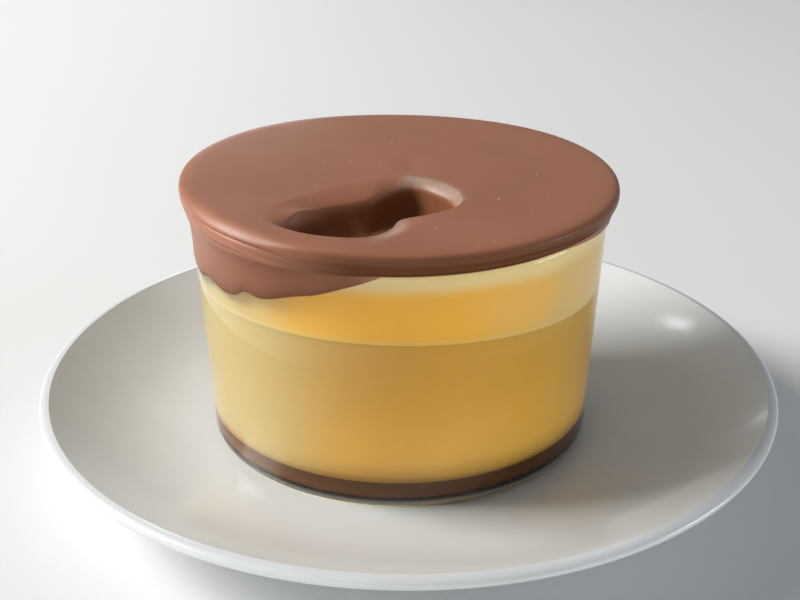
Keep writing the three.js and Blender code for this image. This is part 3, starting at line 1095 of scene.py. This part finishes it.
def edge_rings(skin, dish, choc):
    """The rounded edge, and its underside back to the glass."""
    # The edge's underside is marked for painted shade, except along the lit edge at the left
    # front
    shaded = 1 - between(skin.left, LIT_EDGE)
    for a in np.radians(np.linspace(90, 0, 17)[1:]):
        radius = choc.radius - choc.edge_round + choc.edge_round * np.cos(a)
        x, y = radius * np.sin(skin.azimuth), -radius * np.cos(skin.azimuth)
        turned_under = smooth(np.pi / 2 - a, 0.3, 1.5)
        skin.add(radius, top_height(choc, x, y), thin=0.75 * turned_under * shaded)

    over = over_rim(dish)
    glass = wall_radius(dish, over) + OFF_GLASS
    lap = glass - 0.2 * MM
    foot = lap + (glass + choc.sheet + skin.shoulder - lap) * skin.grown
    widest_z = skin.rings[-1][:, 2] - DISH_FOOT
    for t in np.linspace(0, 1, 37)[1:]:
        radius = foot + (choc.radius - foot) * np.cos(t * np.pi / 2) ** 1.3
        height = widest_z + (over - widest_z) * t
        fold = fold_relief(skin.left, height) * skin.grown
        skin.add(radius + fold, height, thin=(0.75 + 0.25 * smooth(t, 0.0, 0.3)) * shaded)


def run_rings(skin, dish, choc):
    """The run down the outside of the glass, and back up against it."""
    left, over = skin.left, over_rim(dish)
    # The run's mark grows towards its lower edge, and adds painted shade towards the front and on
    # the sag at the right
    toward_front = 0.45 * (1 - smooth(left, 24, 74)) * (1 - smooth(left, 200, 215))
    on_sag = 0.55 * smooth(left, 205, 225)
    steps = np.linspace(0, 1, 19)
    for t in steps[1:]:
        height = over - skin.run * t
        closing = np.sqrt(np.clip(1 - t**6, 0, 1))
        thick = (choc.sheet + choc.bead * bell(t, 0.86, 0.12)) * closing
        ripple = 0.08 * MM * np.sin(np.radians(left) * 11 + height * 320) * skin.grown
        under_edge = np.clip(1 - (over - height) / choc.shoulder_drop, 0, 1) ** 2
        thick = thick + skin.shoulder * under_edge * closing
        outward = (thick + ripple * closing + fold_relief(left, height)) * skin.grown
        radius = wall_radius(dish, height) + OFF_GLASS + outward
        thin = (0.12 + 0.2 * smooth(t, 0.5, 1.0) + toward_front + on_sag) * skin.grown
        skin.add(radius, height, thin=thin)
    for t in steps[::-3]:
        height = over - skin.run * t
        skin.add(wall_radius(dish, height) + 0.04 * MM, height)


def inner_rings(skin, dish, filling):
    """The cap's underside, inside the rim and over the bed of the upper layer."""
    rim = filling_radius(dish, filling, filling.upper_rim) - 0.5 * MM
    skin.add(rim, over_rim(dish))
    for radius in np.linspace(filling.bed_outer, filling.bed_inner, 7):
        skin.add(radius, bed_height(filling, radius) + BED_GAP)
    skin.add(filling.bed_inner * 0.5, filling.bed + BED_GAP)


def cap_skin(dish, filling, choc):
    """The cap's rings, with the point that closes them in the hollow and the one underneath."""
    skin = CapSkin(choc)
    top_rings(skin, choc)
    edge_rings(skin, dish, choc)
    run_rings(skin, dish, choc)
    inner_rings(skin, dish, filling)
    floor = DISH_FOOT + top_height(choc, *skin.middle) - choc.hollow_depth
    top = (choc.hollow_x + DISH_X, choc.hollow_y, floor)
    under = (DISH_X, 0.0, DISH_FOOT + filling.bed + BED_GAP)
    return skin, top, under


def ring_faces(ring_count, around):
    """Faces of a closed skin: pole, rings, pole."""
    k = np.arange(around)
    nxt = (k + 1) % around
    quads = []
    for i in range(ring_count - 1):
        a, b = 1 + i * around, 1 + (i + 1) * around
        quads.append(np.stack([a + k, b + k, b + nxt, a + nxt], 1))
    last = 1 + (ring_count - 1) * around
    end = 1 + ring_count * around
    fans = [(0, 1 + a, 1 + b) for a, b in zip(k.tolist(), nxt.tolist())]
    fans += [(last + a, end, last + b) for a, b in zip(k.tolist(), nxt.tolist())]
    return fans + np.concatenate(quads).tolist()


def scene_settings():
    """The settings of this object, kept on the scene."""
    return bpy.context.scene.custard_dish


# ---------------------------------------------------------------- operators


class PlateOperator(bpy.types.Operator):
    """Makes the glazed plate"""

    bl_idname = "custard_dish.plate"
    bl_label = "Plate"

    def execute(self, context):
        s = scene_settings().plate
        piece = new_piece("plate_glazed", [(0, 0, 0)])
        values = {name: getattr(s, name.lower().replace(" ", "_")) for name in PLATE_SIZES}
        values["Segments"] = s.segments
        values["Glaze"] = glaze_finish(s)
        run_tree(piece, plate_tree(), values)
        settle(piece, "plate")
        return {"FINISHED"}


class DishOperator(bpy.types.Operator):
    """Makes the clear dish"""

    bl_idname = "custard_dish.dish"
    bl_label = "Glass dish"

    def execute(self, context):
        s = scene_settings().dish
        piece = turned_piece("dish_glass", dish_section(s), {}, s.segments, glass_finish(s))
        settle(piece, "glass_dish")
        return {"FINISHED"}


class FillingOperator(bpy.types.Operator):
    """Makes the caramel, the custard and the upper layer"""

    bl_idname = "custard_dish.filling"
    bl_label = "Fillings"

    def execute(self, context):
        dish = scene_settings().dish
        s = scene_settings().filling
        wave = {"Wave Height": s.border_wave, "Wave Level": s.custard_top, "Wave Reach": 8 * MM}
        sauce = layer_section(dish, s, dish.base - s.into_wall, s.caramel_top, 10)
        body = layer_section(dish, s, s.caramel_top, s.custard_top, 44)
        upper = upper_section(dish, s)
        layers = (
            ("caramel_sauce", sauce, {}, caramel_finish(s), "caramel_layer", "caramel"),
            ("custard_body", body, wave, custard_finish(s), "custard", "custard"),
            ("upper_custard", upper, wave, upper_finish(s), "upper_layer", "upper_layer"),
        )
        for name, section, changes, finish, node, slot in layers:
            piece = turned_piece(name, section, changes, s.segments, finish)
            settle(piece, node)
        return {"FINISHED"}


class ChocolateOperator(bpy.types.Operator):
    """Makes the poured cap with its hollow, its creases and its run"""

    bl_idname = "custard_dish.chocolate"
    bl_label = "Chocolate cap"

    def execute(self, context):
        settings = scene_settings()
        s = settings.chocolate
        skin, top, under = cap_skin(settings.dish, settings.filling, s)
        points = [top, *np.concatenate(skin.rings).tolist(), under]
        piece = new_piece("chocolate_poured", points, ring_faces(len(skin.rings), s.segments))
        for name, values in skin.marks.items():
            layer = piece.data.attributes.new(name, "FLOAT", "POINT")
            # The point at the floor of the hollow takes full painted shade
            start = 1.0 if name == "deep" else 0.0
            layer.data.foreach_set("value", np.concatenate([[start], *values, [0.0]]))
        piece.data.shade_smooth()
        piece.data.materials.append(chocolate_finish(s))
        settle(piece, "chocolate_cap")
        return {"FINISHED"}


class SpeckOperator(bpy.types.Operator):
    """Scatters the air specks on the cap"""

    bl_idname = "custard_dish.specks"
    bl_label = "Air specks"

    def execute(self, context):
        s = scene_settings().chocolate
        cap = bpy.data.objects.get("chocolate_poured")
        if cap is None:
            raise RuntimeError("make the chocolate cap first")
        clear("chocolate_specks")
        piece = bpy.data.objects.new("chocolate_specks", cap.data.copy())
        context.collection.objects.link(piece)
        piece.data.materials.clear()
        values = {
            "Count": s.speck_count,
            "Radius": s.speck,
            "Lowest": DISH_FOOT + s.top - 0.5 * MM,
            "Seed": SPECK_SEED,
            "Finish": speck_finish(s),
        }
        run_tree(piece, speck_tree(), values)
        settle(piece, None)
        return {"FINISHED"}


def area_light(name, target, direction, distance, shape, power, tint):
    """A soft box that faces a point from a direction."""
    clear(name)
    data = bpy.data.lights.new(name, "AREA")
    data.shape = "RECTANGLE"
    data.size, data.size_y = shape
    data.energy = power
    data.color = tint
    lamp = bpy.data.objects.new(name, data)
    way = Vector(direction).normalized()
    lamp.location = Vector(target) + way * distance
    lamp.rotation_euler = way.to_track_quat("Z", "Y").to_euler()
    lamp.visible_camera = False
    bpy.context.collection.objects.link(lamp)


# The camera of the photograph, fitted to the outlines of the cap, the dish and the plate
CAMERA_PLACE = (-0.897 * MM, -288.341 * MM, 168.088 * MM)
CAMERA_DIP = 24.523  # degrees below the horizon
CAMERA_LENS = 61.878  # mm, as the sensor's width is
CAMERA_SHIFT = (-0.0056, 0.0001)
CAMERA_SENSOR = 36.0

SKY_COLOUR = (0.91, 0.965, 1.0, 1.0)
OBJECT_MIDDLE = (DISH_X, 0, 40 * MM)
GLINT = (68 * MM, 33 * MM, 15 * MM)  # where the plate's slope mirrors the window
# Soft boxes: name, aim, direction from it, distance, width and height, watts and colour
LAMPS = (
    ("key_light", OBJECT_MIDDLE, (-0.81, 0.12, 0.565), 1.5, (0.7, 0.6), 25.5, (1, 0.985, 0.95)),
    ("window_light", GLINT, (-0.38, 0.62, 0.68), 0.9, (0.05, 0.065), 0.12, (0.95, 0.98, 1)),
    ("pane_light", OBJECT_MIDDLE, (-0.2, 0.97, 0.1), 1.0, (0.22, 0.16), 0.3, (0.96, 0.98, 1)),
    ("fill_light", OBJECT_MIDDLE, (-0.1, -1.0, 0.07), 2.6, (2.1, 0.25), 15.0, (1, 0.99, 0.975)),
    ("side_light", OBJECT_MIDDLE, (1.0, -0.1, 0.1), 2.6, (1.04, 0.42), 15.5, (0.9, 0.96, 1)),
)


class StageOperator(bpy.types.Operator):
    """Makes the floor, the lights and the camera"""

    bl_idname = "custard_dish.stage"
    bl_label = "Stage"

    def execute(self, context):
        s = scene_settings().stage
        scene = context.scene
        half = s.floor_size / 2
        corners = [(-half, -half, 0), (half, -half, 0), (half, half, 0), (-half, half, 0)]
        floor = new_piece("floor", corners, [(0, 1, 2, 3)])
        paper = Finish("floor_paper")
        shade = paper.blend(paper.noise(9.0), s.floor, scaled(s.floor, 0.97))
        paper.set(Base_Color=shade, Roughness=0.7)
        floor.data.materials.append(paper.material)

        world = bpy.data.worlds.new("studio")
        scene.world = world
        world.use_nodes = True
        back = world.node_tree.nodes["Background"]
        back.inputs["Color"].default_value = SKY_COLOUR
        back.inputs["Strength"].default_value = s.sky

        for lamp in LAMPS:
            area_light(*lamp)

        clear("camera")
        data = bpy.data.cameras.new("camera")
        data.sensor_width = CAMERA_SENSOR
        data.lens = CAMERA_LENS
        data.shift_x, data.shift_y = CAMERA_SHIFT
        data.clip_start = 10 * MM
        camera = bpy.data.objects.new("camera", data)
        camera.location = CAMERA_PLACE
        camera.rotation_euler = Euler((math.radians(90 - CAMERA_DIP), 0, 0))
        context.collection.objects.link(camera)
        scene.camera = camera
        scene.view_settings.view_transform = "Standard"
        return {"FINISHED"}


STEPS = (
    PlateOperator,
    DishOperator,
    FillingOperator,
    ChocolateOperator,
    SpeckOperator,
    StageOperator,
)


class CustardDishSettings(bpy.types.PropertyGroup):
    """All settings of the custard dish"""

    plate: PointerProperty(type=PlateSettings)
    dish: PointerProperty(type=DishSettings)
    filling: PointerProperty(type=FillingSettings)
    chocolate: PointerProperty(type=ChocolateSettings)
    stage: PointerProperty(type=StageSettings)


class CustardDishPanel(bpy.types.Panel):
    """Lists the steps that build the object"""

    bl_idname = "VIEW3D_PT_custard_dish"
    bl_label = "Custard Dish"
    bl_space_type = "VIEW_3D"
    bl_region_type = "UI"
    bl_category = "Custard Dish"

    def draw(self, context):
        settings = context.scene.custard_dish
        for step in STEPS:
            self.layout.operator(step.bl_idname)
        for name in ("plate", "dish", "filling", "chocolate", "stage"):
            group = getattr(settings, name)
            box = self.layout.box()
            box.label(text=name.capitalize())
            for key in type(group).__annotations__:
                box.prop(group, key)


CLASSES = (
    PlateSettings,
    DishSettings,
    FillingSettings,
    ChocolateSettings,
    StageSettings,
    CustardDishSettings,
    *STEPS,
    CustardDishPanel,
)


def register():
    for item in CLASSES:
        bpy.utils.register_class(item)
    bpy.types.Scene.custard_dish = PointerProperty(type=CustardDishSettings)


def unregister():
    del bpy.types.Scene.custard_dish
    for item in reversed(CLASSES):
        bpy.utils.unregister_class(item)


def main():
    register()
    for step in STEPS:
        group, name = step.bl_idname.split(".")
        getattr(getattr(bpy.ops, group), name)()


if __name__ == "__main__":
    main()
